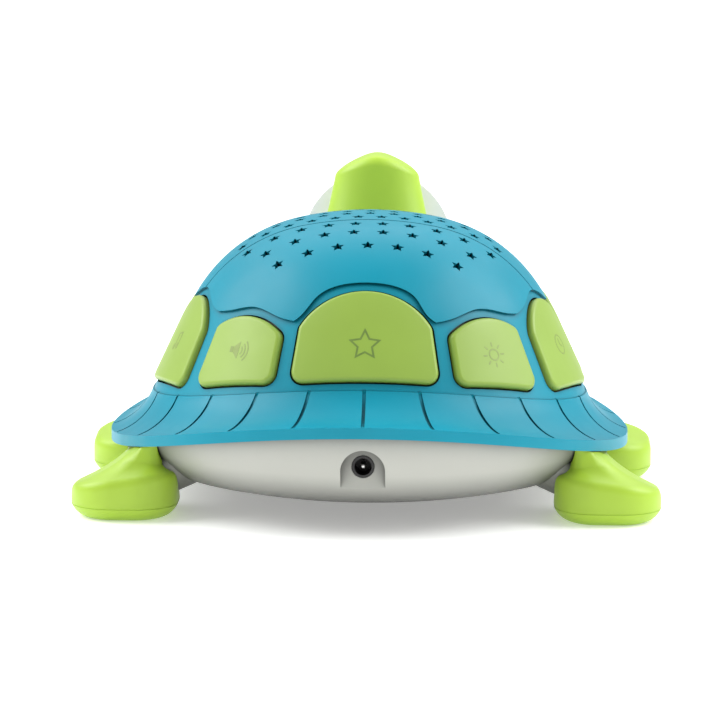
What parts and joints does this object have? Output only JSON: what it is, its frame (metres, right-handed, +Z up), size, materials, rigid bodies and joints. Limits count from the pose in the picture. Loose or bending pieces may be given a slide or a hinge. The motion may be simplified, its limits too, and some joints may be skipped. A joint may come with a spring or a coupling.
{
  "type": "sound machine",
  "caption": "Turtle shaped nursery sound machine: a domed shell with star light holes and sprung push buttons on a belly bowl with flippers, head and DC inlet.",
  "frame": {"origin": "on the ground at the centre of the bounding box", "axes": "+X to the right seen from the tail, +Y toward the head, +Z up"},
  "size_m": [0.2208, 0.2175, 0.1215],
  "materials": {
    "shell_blue": "satin moulded, fine grain",
    "belly_white": "satin moulded",
    "flipper_green": "satin moulded",
    "button_green": "satin moulded",
    "face_white": "satin moulded",
    "eye_black": "glossy",
    "jack_black": "matte moulded",
    "chip_black": "matte moulded",
    "steel": "plated",
    "cell_wrap": "plain wrap",
    "board_green": "solder mask",
    "inner_grey": "natural moulded",
    "circuit_amber": "film",
    "led_clear": "clear epoxy",
    "speaker_steel": "black coat",
    "cone_black": "paper",
    "magnet_iron": "sintered"
  },
  "bodies": {
    "base": {"battery_cells": "cell_wrap", "battery_contacts": "steel", "battery_door": "belly_white", "battery_door_screw": "steel", "board_screws": "steel", "button_carrier": "inner_grey", "carrier_screws": "steel", "case_screws": "steel", "dc_jack": "jack_black", "dc_jack_pin": "steel", "eyes": "eye_black", "face_disc": "face_white", "flipper_front_left": "flipper_green", "flipper_front_right": "flipper_green", "flipper_rear_left": "flipper_green", "flipper_rear_right": "flipper_green", "head_shell": "flipper_green", "light_board": "board_green", "light_tower": "inner_grey", "lower_shell": "belly_white", "main_board": "board_green", "projector_leds": "led_clear", "sole_front_left": "flipper_green", "sole_front_right": "flipper_green", "sole_rear_left": "flipper_green", "sole_rear_right": "flipper_green", "sound_chip": "chip_black", "speaker_cone": "cone_black", "speaker_frame": "speaker_steel", "speaker_magnet": "magnet_iron", "switch_circuit": "circuit_amber", "tact_switches": "chip_black", "upper_shell": "shell_blue"},
    "button_star": {"button_star": "button_green"},
    "button_rear_left": {"button_rear_left": "button_green"},
    "button_rear_right": {"button_rear_right": "button_green"},
    "button_side_left": {"button_side_left": "button_green"},
    "button_side_right": {"button_side_right": "button_green"},
    "button_front_left": {"button_front_left": "button_green"},
    "button_front_right": {"button_front_right": "button_green"}
  },
  "joints": [
    {"name": "press_star", "type": "slide", "parent": "base", "child": "button_star", "axis": [0, 0.9063, -0.4226], "range_m": [0, 0.0009], "stiffness_N_per_m": 1500},
    {"name": "press_rear_left", "type": "slide", "parent": "base", "child": "button_rear_left", "axis": [0.574, 0.7013, -0.4226], "range_m": [0, 0.0009], "stiffness_N_per_m": 1500},
    {"name": "press_rear_right", "type": "slide", "parent": "base", "child": "button_rear_right", "axis": [-0.574, 0.7013, -0.4226], "range_m": [0, 0.0009], "stiffness_N_per_m": 1500},
    {"name": "press_side_left", "type": "slide", "parent": "base", "child": "button_side_left", "axis": [0.869, 0.2574, -0.4226], "range_m": [0, 0.0009], "stiffness_N_per_m": 1500},
    {"name": "press_side_right", "type": "slide", "parent": "base", "child": "button_side_right", "axis": [-0.869, 0.2574, -0.4226], "range_m": [0, 0.0009], "stiffness_N_per_m": 1500},
    {"name": "press_front_left", "type": "slide", "parent": "base", "child": "button_front_left", "axis": [0.8538, -0.304, -0.4226], "range_m": [0, 0.0009], "stiffness_N_per_m": 1500},
    {"name": "press_front_right", "type": "slide", "parent": "base", "child": "button_front_right", "axis": [-0.8538, -0.304, -0.4226], "range_m": [0, 0.0009], "stiffness_N_per_m": 1500}
  ]
}
